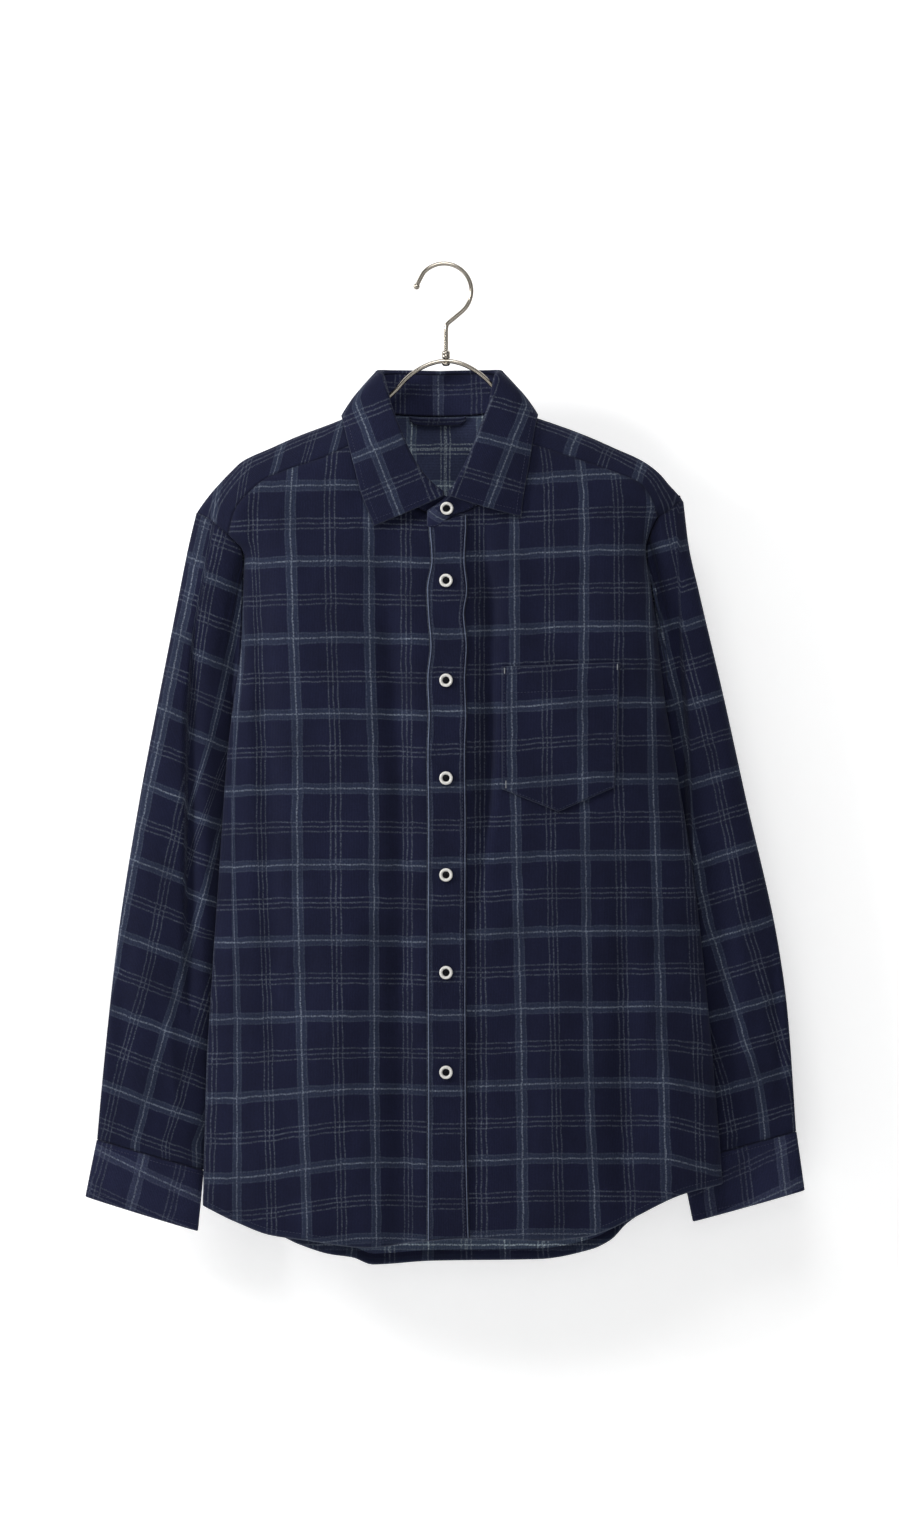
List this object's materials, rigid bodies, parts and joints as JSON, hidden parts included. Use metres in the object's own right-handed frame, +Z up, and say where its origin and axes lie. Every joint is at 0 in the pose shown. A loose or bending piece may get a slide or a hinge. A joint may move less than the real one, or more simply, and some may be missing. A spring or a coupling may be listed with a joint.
{
  "type": "corduroy shirt on a wire hanger",
  "caption": "Long-sleeved checked corduroy shirt with a spread collar, chest pocket and cuffs, buttoned up and hanging on a wire hanger.",
  "frame": {"origin": "inner top of the hanger's hook, where it rests on a rail; the hook's plane is y = 0", "axes": "+Z up, -Y out of the shirt's front, +X towards the wearer's left"},
  "size_m": [0.6476, 0.0843, 0.9023],
  "materials": {
    "corduroy": "fine-wale cotton corduroy, navy with a pale grey window check",
    "button": "satin white with a darker sunk middle",
    "hanger_steel": "bright plated wire"
  },
  "bodies": {
    "root": {"front_right": "corduroy", "front_left": "corduroy", "back": "corduroy", "yoke": "corduroy", "sleeve_right": "corduroy", "sleeve_left": "corduroy", "sleeve_placket_right": "corduroy", "sleeve_placket_left": "corduroy", "cuff_right": "corduroy", "cuff_left": "corduroy", "collar_stand": "corduroy", "collar_leaf": "corduroy", "placket": "corduroy", "pocket": "corduroy", "hanging_loop": "corduroy", "button_front_1": "button", "button_front_2": "button", "button_front_3": "button", "button_front_4": "button", "button_front_5": "button", "button_front_6": "button", "button_collar": "button", "button_cuff_right": "button", "button_cuff_left": "button", "hanger_hook": "hanger_steel", "hanger_ferrule": "hanger_steel", "hanger_arms": "hanger_steel"}
  },
  "joints": []
}
